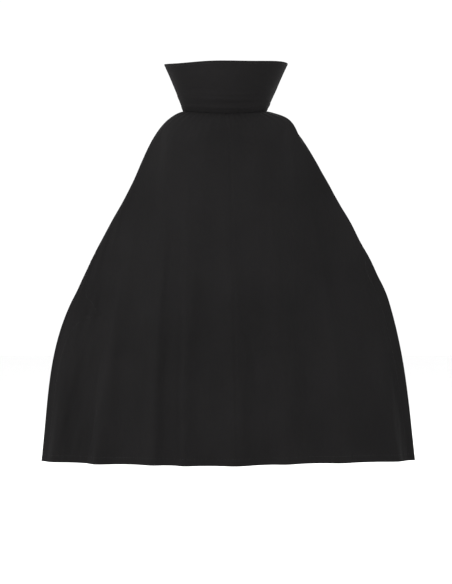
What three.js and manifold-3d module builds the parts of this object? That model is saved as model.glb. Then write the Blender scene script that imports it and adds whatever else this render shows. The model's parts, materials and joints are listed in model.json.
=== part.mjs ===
// A child's stand-collar cape, held in the shape it takes when it is worn with both arms out to the sides.
//
// Units are millimetres, +Z is up and the wearer faces -Y, so the wearer's left side is +X.
// The origin is the middle of the neck opening, at the height of the neck seam beside the neck.
//
// The cloth is described by threads. Thread u runs from the neck seam to the hem: u = 0 is the centre back seam and
// u = 1 is the front edge. Each thread goes from the neck seam over the shoulder to a break line, where the body stops
// carrying it, and hangs from there to the hem. Every soft piece is a thin closed sheet laid on such a surface.
//
// Pieces that bend are parted where they bend: the cape swings at each shoulder and the collar folds at each front
// corner, so each has a part that stays and a part that moves.

import * as THREE from "three";
import { mergeVertices } from "three/addons/utils/BufferGeometryUtils.js";
import Module from "manifold-3d";

const wasm = await Module();
wasm.setup();

// Driving dimensions
const CLOTH = 1.2; // thickness of one layer of cloth
const COLUMNS = 36; // facets across each side of the cape
const ROWS = 24; // facets from the neck seam to the hem
const NECK_EDGE = 0.006; // where the panels start below the neck seam
const SEAM_EDGE = 0.002; // and beside the centre back
const GAP = 0.4; // air between two layers that lie on each other
const STEP = CLOTH + GAP; // from the middle of one layer to the middle of the next

// Neck seam: an oval that is open at the throat
const NECK_HALF_WIDTH = 101;
const NECK_BACK = 64; // from the origin to the nape
const NECK_FRONT = 76; // from the origin to the front of the oval
const NECK_END_ANGLE = 158; // degrees round from the nape to the throat
const NAPE_DROP = 9;
const THROAT_DROP = 48;

// Stand collar: its top edge is a wider oval that ends in a point beside each cheek
const COLLAR_HEIGHT = 116;
const COLLAR_TIP_HEIGHT = 117;
const COLLAR_TOP_HALF_WIDTH = 146;
const COLLAR_TOP_BACK = 98;
const COLLAR_TOP_DEPTH = 116;
const COLLAR_END_ANGLE = 100;
const COLLAR_BULGE = 4;
const COLLAR_FOOT = 0.03; // where the plies start, as a share of the way from the neck seam to the top edge
const STIFFENER_INSET = 0.04; // the stiffener stops short of the collar's edges by this share

// Where each front corner of the collar folds: on a line from the front edge to the top edge
const FOLD_FRONT = 0.18; // height on the front edge
const FOLD_TOP = 0.5; // place along the top edge
const FOLD_GAP = 3;

// Where the cape is parted beside each shoulder. The wing beyond swings about a vertical axis there.
const SWING_CUT_X = 176;
const SWING_CUT_GAP = 8;

// Hem, front facings, centre back seam and neck tape
const HEM_HEIGHT = 18;
const FACING_WIDTH = 24;
const SEAM_SHARE = 0.0145; // width of the pressed-open seam allowance on each side, as a share of the panel's width
const TAPE_HEIGHT = 12;

// Throat closure: a tab on the left that presses onto a strap on the right
const STRAP_TOP = -40;
const STRAP_HEIGHT = 22;
const STRAP_Y = -72.5; // middle of the right strap
const STRAP_END_X = 37; // where each strap leaves the neck seam
const STRAP_REACH = 22; // how far the right strap passes the middle
const TAB_HINGE_X = 28;
const TAB_HINGE_GAP = 1.5;
const TAB_REACH = 26; // how far the tab passes the middle
const PATCH_MARGIN = 2.5;

// Care label, sewn into the neck tape
const LABEL_WIDTH = 25;
const LABEL_LENGTH = 48;
const LABEL_X = 34;
const LABEL_THICKNESS = 0.8;
const LABEL_STAND_OFF = 9.5; // from the neck seam to the label, past the collar's plies and the tape

// Break line and hem of each side, from the centre back to the front edge. The arms are not held quite alike.
const LEFT = {
  sign: 1,
  breakLine: [
    [-10, 89, -92],
    [70, 85, -88],
    [126, 54, -76],
    [155, 12, -58],
    [196, -8, -134],
    [251, -16, -234],
    [317, -24, -350],
    [374, -30, -468],
  ],
  shoulder: [0.82, -0.05, -0.03],
  handLean: [0.44, -0.02, -1],
  hem: [
    [-26, 126, -821],
    [96, 120, -822],
    [212, 88, -823],
    [300, 46, -825],
    [380, 4, -826],
    [439, -32, -827],
  ],
  // Crests of the folds along the hem, as [distance to this side of the middle, depth of the fold]
  folds: [
    [-26, 6],
    [92, 8],
    [167, 7],
    [304, 12],
    [408, 8],
    [500, 6],
  ],
};
const RIGHT = {
  sign: -1,
  breakLine: [
    [10, 89, -92],
    [76, 84, -86],
    [124, 54, -68],
    [152, 12, -42],
    [199, -8, -118],
    [262, -16, -214],
    [331, -24, -326],
    [384, -30, -440],
  ],
  shoulder: [0.92, -0.05, 0.03],
  handLean: [0.4, -0.02, -1],
  hem: [
    [26, 126, -821],
    [125, 117, -822],
    [215, 88, -823],
    [306, 46, -824],
    [388, 4, -825],
    [449, -32, -826],
  ],
  folds: [
    [26, 6],
    [137, 8],
    [271, 7],
    [403, 9],
    [500, 6],
  ],
};

const radians = THREE.MathUtils.degToRad;
const vec = (x, y, z) => new THREE.Vector3(x, y, z);
const fabric = (color, roughness) => new THREE.MeshStandardMaterial({ color, roughness, metalness: 0 });

const capeCloth = fabric(0x242223, 0.85);
const collarCloth = fabric(0x211f20, 0.8);
const interlining = fabric(0x3a3a3c, 0.95);
const tape = fabric(0x1c1b1c, 0.7);
const hookAndLoop = fabric(0x171717, 0.95);
const labelSatin = fabric(0xe9e7e2, 0.45);

const cape = new THREE.Group();
cape.name = "cape";

// A smooth curve through a few points, given for the left side and mirrored for the right
function curveThrough(points, sign) {
  return new THREE.CatmullRomCurve3(
    points.map(([x, y, z]) => vec(sign * x, y, z)),
    false,
    "centripetal",
  );
}

// The neck seam, from u = -1 at the right end of the throat over 0 at the nape to 1 at the left end
function neckSeam(u) {
  const angle = radians(u * NECK_END_ANGLE);
  const c = Math.cos(angle);
  const depth = c > 0 ? NECK_BACK : NECK_FRONT;
  const drop = c > 0 ? NAPE_DROP : THROAT_DROP;
  return vec(NECK_HALF_WIDTH * Math.sin(angle), depth * c, -drop * c * c);
}

// The collar's top edge, from u = -1 at the right tip to 1 at the left tip
function collarTop(u) {
  const angle = radians(u * COLLAR_END_ANGLE);
  return vec(
    COLLAR_TOP_HALF_WIDTH * Math.sin(angle),
    COLLAR_TOP_BACK - COLLAR_TOP_DEPTH * (1 - Math.cos(angle)),
    THREE.MathUtils.lerp(COLLAR_HEIGHT, COLLAR_TIP_HEIGHT, Math.abs(u)),
  );
}

// The collar: straight from the neck seam, v = 0, to the top edge, v = 1, and swelled a little between them
function collarSurface(u, v) {
  const point = neckSeam(u).lerp(collarTop(u), v);
  const out = vec(point.x, point.y, 0).normalize();
  return point.addScaledVector(out, COLLAR_BULGE * Math.sin(Math.PI * v));
}

// Cubic curve from a to b that leaves along ta and arrives along tb
function hermite(a, ta, b, tb, t) {
  const t2 = t * t;
  const t3 = t2 * t;
  return vec(0, 0, 0)
    .addScaledVector(a, 2 * t3 - 3 * t2 + 1)
    .addScaledVector(ta, t3 - 2 * t2 + t)
    .addScaledVector(b, 3 * t2 - 2 * t3)
    .addScaledVector(tb, t3 - t2);
}

// How far the cloth stands out at a distance from the middle: a wave whose crests are the listed folds
function foldWave(folds, distance) {
  let i = 0;
  while (i < folds.length - 2 && distance > folds[i + 1][0]) i += 1;
  const share = (distance - folds[i][0]) / (folds[i + 1][0] - folds[i][0]);
  const depth = THREE.MathUtils.lerp(folds[i][1], folds[i + 1][1], share);
  return depth * Math.cos(2 * Math.PI * share);
}

// One side of the cape as a function of u, from the centre back to the front edge, and v, from neck seam to hem
function capeSurface(side) {
  const breakCurve = curveThrough(side.breakLine, side.sign);
  const hemCurve = curveThrough(side.hem, side.sign);
  const towardsHand = vec(side.sign * side.handLean[0], side.handLean[1], side.handLean[2]).normalize();
  const overShoulder = vec(side.sign * side.shoulder[0], side.shoulder[1], side.shoulder[2]);

  return (u, v) => {
    const neck = neckSeam(side.sign * u);
    const bend = breakCurve.getPoint(u);
    const hem = hemCurve.getPoint(u);
    const carried = bend.distanceTo(neck);
    const free = hem.distanceTo(bend);
    const bendAt = carried / (carried + free);

    // The cloth leaves the nape outwards, the side of the neck along the shoulder, and the throat towards the hand
    const fall = hem.clone().sub(bend).normalize();
    const frontness = THREE.MathUtils.smoothstep(u, 0.55, 1);
    const atBend = fall.clone().lerp(towardsHand, frontness).normalize();
    const sideness = Math.sin(Math.PI * Math.min(1, u / 1.1)) ** 2;
    const atNeck = vec(neck.x, neck.y, 0)
      .normalize()
      .multiplyScalar(0.6)
      .add(vec(0, 0, -0.35))
      .lerp(overShoulder, 0.6 * sideness)
      .lerp(bend.clone().sub(neck).normalize(), 0.75 * frontness)
      .normalize();
    if (v <= bendAt) {
      return hermite(neck, atNeck.setLength(1.1 * carried), bend, atBend.setLength(0.95 * carried), v / bendAt);
    }

    // Below the break line it hangs free, and its folds stand out square to the hem line and grow towards it
    const t = (v - bendAt) / (1 - bendAt);
    const atHem = fall.clone().lerp(vec(0, 0, -1), 0.4).setLength(free);
    const tangent = hemCurve.getTangent(u);
    const out = vec(-tangent.y, tangent.x, 0).setLength(side.sign);
    const grown = THREE.MathUtils.smoothstep(t, 0, 0.9);
    return hermite(bend, atBend.setLength(free), hem, atHem, t)
      .addScaledVector(out, foldWave(side.folds, side.sign * hem.x) * grown);
  };
}

// Evenly spaced values from a to b
function spaced(a, b, count) {
  return Array.from({ length: count + 1 }, (_, i) => THREE.MathUtils.lerp(a, b, i / count));
}

// A closed sheet over a patch of a surface, with facets between the grid lines us and vs. The outward side of the
// surface is where du x dv points, or away from it if facing is -1. offset moves the sheet outwards. Layers that lie
// on each other share their grid lines, so their facets are parallel.
function sheet(surface, us, vs, { offset = 0, facing = 1 } = {}) {
  const step = 1e-3;
  const outer = [];
  const inner = [];
  for (const b of vs) {
    for (const a of us) {
      const middle = surface(a, b);
      const du = surface(Math.min(a + step, 1), b).sub(surface(Math.max(a - step, -1), b));
      const dv = surface(a, Math.min(b + step, 1)).sub(surface(a, Math.max(b - step, 0)));
      const out = du.cross(dv).setLength(facing);
      outer.push(middle.clone().addScaledVector(out, offset + CLOTH / 2));
      inner.push(middle.clone().addScaledVector(out, offset - CLOTH / 2));
    }
  }

  const index = [];
  const quad = (a, b, c, d) => {
    if (facing > 0) index.push(a, b, c, a, c, d);
    else index.push(a, c, b, a, d, c);
  };
  const wide = us.length;
  const columns = wide - 1;
  const rows = vs.length - 1;
  const n = outer.length;
  for (let j = 0; j < rows; j += 1) {
    for (let i = 0; i < columns; i += 1) {
      const a = j * wide + i;
      quad(a, a + 1, a + wide + 1, a + wide);
      quad(n + a, n + a + wide, n + a + wide + 1, n + a + 1);
    }
  }
  for (let i = 0; i < columns; i += 1) {
    const last = rows * wide + i;
    quad(i, n + i, n + i + 1, i + 1);
    quad(last, last + 1, n + last + 1, n + last);
  }
  for (let j = 0; j < rows; j += 1) {
    const first = j * wide;
    const last = first + columns;
    quad(first, first + wide, n + first + wide, n + first);
    quad(last, n + last, n + last + wide, last + wide);
  }

  const geometry = new THREE.BufferGeometry();
  const corners = [...outer, ...inner].flatMap((p) => p.toArray());
  geometry.setAttribute("position", new THREE.Float32BufferAttribute(corners, 3));
  geometry.setIndex(index);
  return geometry;
}

// A box between two opposite corners
function block(low, high) {
  const size = high.clone().sub(low);
  const middle = low.clone().add(high).multiplyScalar(0.5);
  return new THREE.BoxGeometry(size.x, size.y, size.z).translate(middle.x, middle.y, middle.z);
}

// Closed geometry as a solid that can be cut, and back
function solidOf(geometry) {
  const bare = new THREE.BufferGeometry();
  bare.setAttribute("position", geometry.getAttribute("position"));
  bare.setIndex(geometry.index);
  const merged = mergeVertices(bare, 1e-4);
  return new wasm.Manifold(
    new wasm.Mesh({
      numProp: 3,
      vertProperties: new Float32Array(merged.attributes.position.array),
      triVerts: new Uint32Array(merged.index.array),
    }),
  );
}

function geometryOf(solid) {
  const mesh = solid.getMesh();
  const geometry = new THREE.BufferGeometry();
  geometry.setAttribute("position", new THREE.BufferAttribute(mesh.vertProperties, 3));
  geometry.setIndex(new THREE.BufferAttribute(mesh.triVerts, 1));
  return geometry;
}

function add(name, geometry, material) {
  const mesh = new THREE.Mesh(geometry, material.clone());
  mesh.name = name;
  cape.add(mesh);
}

// Parts a sheet at the shoulder: what is nearer the middle stays and what is farther out swings
function partAtShoulder(geometry, sign) {
  const far = 1000;
  const beyond = (x) => solidOf(block(vec(x, -far, -far), vec(far, far, far)));
  const mirrored = (x) => solidOf(block(vec(-far, -far, -far), vec(-x, far, far)));
  const side = sign > 0 ? beyond : mirrored;
  const whole = solidOf(geometry);
  return {
    stays: geometryOf(whole.subtract(side(SWING_CUT_X))),
    swings: geometryOf(whole.intersect(side(SWING_CUT_X + SWING_CUT_GAP))),
  };
}

// A big box whose near face lies on the fold plane of one collar corner, moved towards the corner by a gap
function foldBox(sign, gap) {
  const front = collarSurface(sign, FOLD_FRONT);
  const top = collarSurface(sign * FOLD_TOP, 1);
  const bulge = collarSurface(sign * (1 + FOLD_TOP) / 2, (1 + FOLD_FRONT) / 2);
  const along = top.clone().sub(front).normalize();
  const out = bulge.clone().sub(front);
  out.addScaledVector(along, -out.dot(along)).normalize();
  const towards = along.clone().cross(out).multiplyScalar(-sign);
  const reach = 300;
  const inwards = 60;
  const frame = new THREE.Matrix4().makeBasis(along, out.clone().multiplyScalar(-sign), towards);
  const middle = bulge
    .clone()
    .addScaledVector(towards, reach / 2 + gap)
    .addScaledVector(out, (reach - 2 * inwards) / 2 - 30);
  return new THREE.BoxGeometry(reach, reach - 2 * inwards, reach).applyMatrix4(frame).translate(...middle.toArray());
}

// Parts a collar ply at both folds: the back stays and each front corner folds
function partCollar(geometry) {
  const whole = solidOf(geometry);
  const corner = (sign) => geometryOf(whole.intersect(solidOf(foldBox(sign, FOLD_GAP))));
  return {
    back: geometryOf(whole.subtract(solidOf(foldBox(1, 0))).subtract(solidOf(foldBox(-1, 0)))),
    left: corner(1),
    right: corner(-1),
  };
}

// Length of a curve given as a function of a share, to turn a width in millimetres into a share
function lengthAlong(at, steps = 40) {
  let length = 0;
  for (let i = 0; i < steps; i += 1) length += at(i / steps).distanceTo(at((i + 1) / steps));
  return length;
}

// Even grid lines with some more at given places, where another layer starts or ends
function linesWith(even, extra) {
  const apart = 0.012;
  const kept = even.filter((line) => extra.every((other) => Math.abs(line - other) > apart));
  return [...kept, ...extra].sort((first, second) => first - second);
}

function addSide(label, side) {
  const surface = capeSurface(side);
  const inside = { offset: -STEP, facing: -side.sign };
  const hemStart = 1 - HEM_HEIGHT / lengthAlong((t) => surface(1, t));
  const facingStart = 1 - FACING_WIDTH / lengthAlong((t) => surface(t, 1));

  // Threads are evenly spaced, and the lines across them are closer where the cloth bends over the shoulder
  const us = linesWith(spaced(0, 1, COLUMNS), [0, SEAM_SHARE, facingStart, 1]);
  const vs = linesWith(spaced(0, 1, ROWS).map((t) => t ** 1.6), [NECK_EDGE, hemStart, 1]);
  us[0] = SEAM_EDGE;

  const panel = sheet(surface, us, vs, { facing: inside.facing });
  const hem = sheet(surface, us, [hemStart, 0.999], inside);
  const facingLines = vs.filter((v) => v > 0.02 && v < hemStart - 0.01);
  const facing = sheet(surface, us.filter((u) => u >= facingStart), [...facingLines, hemStart - 0.002], inside);
  const panelParts = partAtShoulder(panel, side.sign);
  const hemParts = partAtShoulder(hem, side.sign);
  const facingParts = partAtShoulder(facing, side.sign);
  add(`back_panel_${label}`, panelParts.stays, capeCloth);
  add(`wing_panel_${label}`, panelParts.swings, capeCloth);
  add(`back_hem_${label}`, hemParts.stays, capeCloth);
  add(`wing_hem_${label}`, hemParts.swings, capeCloth);
  add(`throat_facing_${label}`, facingParts.stays, capeCloth);
  add(`wing_facing_${label}`, facingParts.swings, capeCloth);
  return { surface, seamLines: vs.filter((v) => v > 0.02 && v < hemStart - 0.01) };
}
const left = addSide("left", LEFT);
const right = addSide("right", RIGHT);

// The allowance of the centre back seam: a strip on the inside, between the neck tape and the hem
function seamStrip() {
  const strip = (s, v) => (s < 0 ? right : left).surface(Math.abs(s) * SEAM_SHARE, v);
  return sheet(strip, [-1, 0, 1], left.seamLines, { offset: -STEP, facing: -1 });
}
add("centre_back_seam", seamStrip(), capeCloth);

function addCollar() {
  const edge = STIFFENER_INSET;
  const us = linesWith(spaced(-1, 1, 30), [-1, edge - 1, 1 - edge, 1]);
  const vs = [COLLAR_FOOT, 0.35, 0.67, 1 - edge, 1];
  const ply = (offset) => sheet(collarSurface, us, vs, { offset });
  const layers = [
    ["outer", ply(-STEP), collarCloth],
    ["inner", ply(STEP), collarCloth],
    ["stiffener", sheet(collarSurface, us.slice(1, -1), vs.slice(0, -1)), interlining],
  ];
  for (const [name, geometry, material] of layers) {
    const parts = partCollar(geometry);
    add(`collar_${name}_back`, parts.back, material);
    add(`collar_${name}_left_corner`, parts.left, material);
    add(`collar_${name}_right_corner`, parts.right, material);
  }
}
addCollar();

// Tape over the neck seam on the inside
function neckTape() {
  const band = (u, v) => neckSeam(u * 0.97).add(vec(0, 0, (v - 0.5) * TAPE_HEIGHT));
  return sheet(band, spaced(-1, 1, 30), [0, 1], { offset: 2.6 * STEP });
}
add("neck_tape", neckTape(), tape);

function addClosure() {
  const bottom = STRAP_TOP - STRAP_HEIGHT;
  const plate = (x0, x1, layer, margin = 0) => block(
    vec(x0, STRAP_Y - layer * STEP - CLOTH / 2, bottom + margin),
    vec(x1, STRAP_Y - layer * STEP + CLOTH / 2, STRAP_TOP - margin),
  );
  const m = PATCH_MARGIN;
  add("closure_strap_right", plate(-STRAP_END_X, STRAP_REACH, 0), tape);
  add("loop_patch", plate(-TAB_REACH + m, STRAP_REACH - m, 1, m), hookAndLoop);
  add("hook_patch", plate(-TAB_REACH + m, STRAP_REACH - m, 2, m), hookAndLoop);
  add("closure_tab", plate(-TAB_REACH, TAB_HINGE_X - TAB_HINGE_GAP, 3), tape);

  // The left strap steps forward from the neck seam to the tab's plane
  const stepForward = (u, v) => vec(
    THREE.MathUtils.lerp(STRAP_END_X, TAB_HINGE_X, u),
    STRAP_Y - 3 * STEP * THREE.MathUtils.smoothstep(u, 0, 0.8),
    THREE.MathUtils.lerp(STRAP_TOP, bottom, v),
  );
  add("closure_strap_left", sheet(stepForward, spaced(0, 1, 5), [0, 1]), tape);
}
addClosure();

// A blank satin label that hangs from the neck tape
function careLabel() {
  const place = Math.asin(LABEL_X / NECK_HALF_WIDTH) / radians(NECK_END_ANGLE);
  const hangY = neckSeam(place).y - LABEL_STAND_OFF;
  const top = -NAPE_DROP - TAPE_HEIGHT / 2 + 3;
  return block(
    vec(LABEL_X - LABEL_WIDTH / 2, hangY - LABEL_THICKNESS / 2, top - LABEL_LENGTH),
    vec(LABEL_X + LABEL_WIDTH / 2, hangY + LABEL_THICKNESS / 2, top),
  );
}
add("care_label", careLabel(), labelSatin);

export default cape;
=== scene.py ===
"""A child's black stand-collar cape, spread by the wearer's arms, as pieces that can be built from the
sidebar.

Everything is in metres, +Z is up and the wearer faces -Y. The cape's cloth is one surface P(s, v): s runs
across it from the right front edge, -1, over the centre back seam, 0, to the left front edge, 1, and v runs
down it from the neck seam, 0, to the hem, 1. Every layer, hem, facing and row of stitches is laid on that
surface or on the collar's.
"""

import json
from functools import lru_cache

import bpy
import numpy as np
from bpy.props import FloatProperty, FloatVectorProperty, IntProperty, PointerProperty
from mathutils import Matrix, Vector


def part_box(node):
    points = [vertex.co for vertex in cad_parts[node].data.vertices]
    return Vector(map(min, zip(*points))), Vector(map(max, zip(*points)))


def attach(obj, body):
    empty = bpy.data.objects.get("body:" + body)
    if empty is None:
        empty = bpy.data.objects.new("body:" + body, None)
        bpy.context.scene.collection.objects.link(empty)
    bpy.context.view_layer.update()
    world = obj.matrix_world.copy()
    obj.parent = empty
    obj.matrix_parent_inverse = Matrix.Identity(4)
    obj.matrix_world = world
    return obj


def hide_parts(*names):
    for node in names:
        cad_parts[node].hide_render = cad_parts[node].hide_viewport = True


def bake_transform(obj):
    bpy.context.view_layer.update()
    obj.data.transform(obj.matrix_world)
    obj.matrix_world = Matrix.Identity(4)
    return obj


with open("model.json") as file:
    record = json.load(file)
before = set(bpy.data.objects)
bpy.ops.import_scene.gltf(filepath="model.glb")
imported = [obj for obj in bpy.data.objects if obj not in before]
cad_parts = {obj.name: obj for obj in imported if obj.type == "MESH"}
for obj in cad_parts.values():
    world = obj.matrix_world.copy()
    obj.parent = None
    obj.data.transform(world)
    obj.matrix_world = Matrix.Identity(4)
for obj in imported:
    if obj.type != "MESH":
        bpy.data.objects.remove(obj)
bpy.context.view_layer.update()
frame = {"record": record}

bl_info = {
    "name": "Stand-collar cape",
    "version": (1, 0, 0),
    "blender": (4, 5, 0),
    "location": "3D View > Sidebar > Cape",
    "description": "Builds a child's stand-collar costume cape, piece by piece, on its packed frame",
    "category": "Add Mesh",
}

MM = 0.001

# Neck seam: an oval that is open at the throat
NECK_HALF_WIDTH = 101 * MM
NECK_BACK = 64 * MM
NECK_FRONT = 76 * MM
NECK_END_ANGLE = np.radians(158)
NAPE_DROP = 9 * MM
THROAT_DROP = 48 * MM
NECK_PUSH = 6 * MM

# Top edge of the stand collar: a wider oval that ends in a point beside each cheek
COLLAR_HEIGHT = 116 * MM
COLLAR_TIP_RISE = 1 * MM
COLLAR_TOP_HALF_WIDTH = 146 * MM
COLLAR_TOP_BACK = 98 * MM
COLLAR_TOP_DEPTH = 116 * MM
COLLAR_END_ANGLE = np.radians(100)
COLLAR_BULGE = 4 * MM
COLLAR_DIP = 7 * MM
COLLAR_TILT = 5 * MM
COLLAR_FOOT = 0.004  # share of its height that stays free of the cape's neck edge

# Each side of the cape, in millimetres: the break line, where the body stops carrying the cloth, and the hem,
# both from the centre back to the front edge, the directions in which the threads leave over the shoulder and
# at the hand, and the crests of the folds along the hem, as (distance from the middle, depth)
LEFT = {
    "sign": 1,
    "break_line": (
        (-10, 89, -92), (70, 85, -88), (126, 54, -76), (155, 12, -58),
        (195, -8, -138), (246, -16, -240), (317, -24, -350), (375, -30, -466),
    ),
    "shoulder": (0.82, -0.05, 0.05),
    "to_hand": (0.44, -0.02, -1),
    "hem": (
        (-26, 126, -825), (96, 120, -825), (212, 88, -825), (300, 46, -827), (380, 4, -827), (441, -32, -827),
    ),
    "folds": ((-26, 6), (92, 8), (167, 7), (304, 12), (408, 8), (500, 6)),
}
RIGHT = {
    "sign": -1,
    "break_line": (
        (10, 89, -92), (76, 84, -86), (124, 54, -67), (155, 12, -33),
        (197, -8, -120), (255, -16, -216), (325, -24, -330), (387, -30, -446),
    ),
    "shoulder": (0.92, -0.05, 0.2),
    "to_hand": (0.3, -0.02, -1),
    "hem": (
        (26, 126, -825), (125, 117, -822), (215, 88, -822), (306, 46, -824), (388, 4, -825), (453, -32, -825),
    ),
    "folds": ((26, 6), (137, 8), (271, 7), (403, 9), (500, 6)),
}

# How strongly the threads keep their direction at the neck, at the break line and as they fall from it
NECK_PULL = 1.1
BREAK_PULL = 0.9
FALL_PULL = 1.05

# Folded edges: how thick they are, their room behind the cloth, and how far in from its edge they start
HEM_FOLD = 1.1 * MM
FACING_FOLD = 1.0 * MM
ALLOWANCE_FOLD = 0.6 * MM
FOLD_ROOM = 0.1 * MM
FOLD_INSET = 0.3 * MM

# Rows of stitches: how far they lie above the cloth, and how far from the inner edge of their fold
STITCH_RISE = 0.14 * MM
HEM_STITCH_INSET = 2 * MM
FACING_STITCH_INSET = 3 * MM

# Closure at the throat: the straps, how deep they lie behind the front edges and how far in they reach, the
# woven patches, and the wires on them
STRAP_THICKNESS = 1.0 * MM
STRAP_BEHIND = 2.9 * MM
STRAP_ROOT = 11 * MM
PATCH_THICKNESS = 0.55 * MM
PATCH_STITCH_INSET = 1.0 * MM
WIRE_RADIUS = 0.07 * MM
WIRE_GAP = 1.15 * MM

# Grid that carries the cape's shape: columns of each side, and rows from the neck seam to the hem
COLUMNS = 90
ROWS = 130

SIDES = (("left", 1), ("right", -1))

# The wearer, as far as the camera and the floor need it
FLOOR_DROP = 1.04
VIEW_HEIGHT = -0.425


def material_of(slot):
    """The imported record's entry for a material slot."""
    return next(m for m in frame["record"]["materials"] if m["slot"] == slot)


def dyed(slot, share):
    """Cloth in a bright room looks paler than its dye, so the dye is a share of the slot's colour."""
    return [share * c for c in material_of(slot)["base_color"]]


def height_of(node):
    """How tall a CAD node stands at rest."""
    low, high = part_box(node)
    return float(high[2] - low[2])


# ----------------------------------------------------------------------------------------------------------
# Sizes and colours that a user would change


def colour(name, description, value):
    """A colour that a user can change."""
    return FloatVectorProperty(
        name=name, description=description, subtype="COLOR", size=4, min=0, max=1, default=(*value[:3], 1)
    )


def length(name, description, value):
    """A length in metres that a user can change."""
    return FloatProperty(name=name, description=description, default=value, min=0, unit="LENGTH", precision=4)


class CapeSizes(bpy.types.PropertyGroup):
    """Sizes of the cloth, its edges, its stitches and the tapes"""

    cloth: length("Cloth", "Thickness of the cape's cloth", 0.45 * MM)
    hem: length("Hem", "Height of the turned-up hem", 18 * MM)
    facing: length("Facing", "Width of the turned-in front edges", 24 * MM)
    allowance: length("Seam allowance", "Width of the centre back seam on each side", 9 * MM)
    gather: length("Gather depth", "Depth of the gathers below the neck seam", 0.9 * MM)
    gathers: IntProperty(name="Gathers", description="Gathers on each side of the neck", default=21, min=1)
    stitch: length("Stitch", "Length of one machine stitch", 2.4 * MM)
    pitch: length("Stitch pitch", "From the start of one stitch to the next", 3.1 * MM)
    thread: length("Thread", "Radius of the sewing thread", 0.16 * MM)
    topstitch: length("Topstitch inset", "From the collar's edge to its topstitching", 6 * MM)
    tape: length("Neck tape", "Height of the tape over the neck seam", 12 * MM)
    strap: length("Throat strap", "Height of the throat straps", height_of("closure_strap_right"))


class CapeColours(bpy.types.PropertyGroup):
    """Colour of each finish"""

    cloth: colour("Cloth", "Both panels of the cape", dyed("cape_cloth", 0.36))
    # The collar's share is higher than the cape cloth's: painted light that offsets the shade the collar's
    # outward lean puts on it.
    collar: colour("Collar", "Both plies of the collar", dyed("collar_cloth", 0.43))
    interlining: colour("Interlining", "Stiffener in the collar", dyed("interlining", 1))
    tape: colour("Tape", "Neck tape and throat straps", dyed("tape", 0.7))
    pile: colour("Hook and loop", "Both patches of the closure", dyed("hook_and_loop", 1))
    label: colour("Label", "Blank satin label", dyed("label_satin", 0.72))
    thread: colour("Thread", "Sewing thread", (0.014, 0.0135, 0.014))


class CapeStage(bpy.types.PropertyGroup):
    """Camera, floor and room"""

    distance: length("Camera distance", "From the middle of the cape to the camera", 4.5)
    lens: FloatProperty(name="Lens", description="Focal length in millimetres", default=117.6, min=10)
    floor: colour("Floor", "Pale floor", (0.94, 0.94, 0.94))
    world: FloatProperty(name="Room light", description="Strength of the white room", default=1.05, min=0)


# ----------------------------------------------------------------------------------------------------------
# Curves and surfaces


def smoothstep(x, low, high):
    """0 below low, 1 above high, and 3t^2 - 2t^3 between them."""
    t = np.clip((x - low) / (high - low), 0, 1)
    return t * t * (3 - 2 * t)


def unit(v):
    """Vectors of length 1."""
    return v / np.maximum(np.linalg.norm(v, axis=-1, keepdims=True), 1e-12)


def hermite(a, ta, b, tb, t):
    """The cubic from a to b that leaves along ta and arrives along tb."""
    leave = ta * (t**3 - 2 * t**2 + t)
    arrive = tb * (t**3 - t**2)
    return a * (2 * t**3 - 3 * t**2 + 1) + leave + b * (3 * t**2 - 2 * t**3) + arrive


def through(points, u):
    """The centripetal spline through points at the shares u of the way: between two neighbours it is a
    cubic whose end directions weigh the chords before and after by the square roots of their lengths."""
    p = np.asarray(points, float)
    p = np.vstack([2 * p[0] - p[1], p, 2 * p[-1] - p[-2]])
    x = np.clip(u, 0, 1) * (len(p) - 3)
    i = np.minimum(x.astype(int), len(p) - 4)
    t = (x - i)[..., None]
    a, b, c, d = (p[i + k] for k in range(4))
    ab, bc, cd = (np.sqrt(np.linalg.norm(n - m, axis=-1, keepdims=True)) for m, n in ((a, b), (b, c), (c, d)))
    leave = ((b - a) / ab - (c - a) / (ab + bc) + (c - b) / bc) * bc
    arrive = ((c - b) / bc - (d - b) / (bc + cd) + (d - c) / cd) * bc
    return hermite(b, leave, c, arrive, t)


def neck_seam(s):
    """Oval: (W sin a, D cos a, -H cos^2 a) with a = s times the end angle, and D and H other ones behind
    than in front. The right shoulder pushes it in by a few millimetres."""
    a = s * NECK_END_ANGLE
    behind = np.cos(a) > 0
    depth = np.where(behind, NECK_BACK, NECK_FRONT)
    drop = np.where(behind, NAPE_DROP, THROAT_DROP)
    pushed = NECK_PUSH * np.exp(-(((s + 0.57) / 0.2) ** 2))
    across = NECK_HALF_WIDTH * np.sin(a) + pushed
    return np.stack([across, depth * np.cos(a), -drop * np.cos(a) ** 2], axis=-1)


def collar_top(s):
    """Wider oval: (W sin a, B - D (1 - cos a), height), a little higher towards the tips."""
    a = s * COLLAR_END_ANGLE
    return np.stack(
        [
            COLLAR_TOP_HALF_WIDTH * np.sin(a),
            COLLAR_TOP_BACK - COLLAR_TOP_DEPTH * (1 - np.cos(a)),
            COLLAR_HEIGHT + COLLAR_TIP_RISE * np.abs(s),
        ],
        axis=-1,
    )


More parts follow.
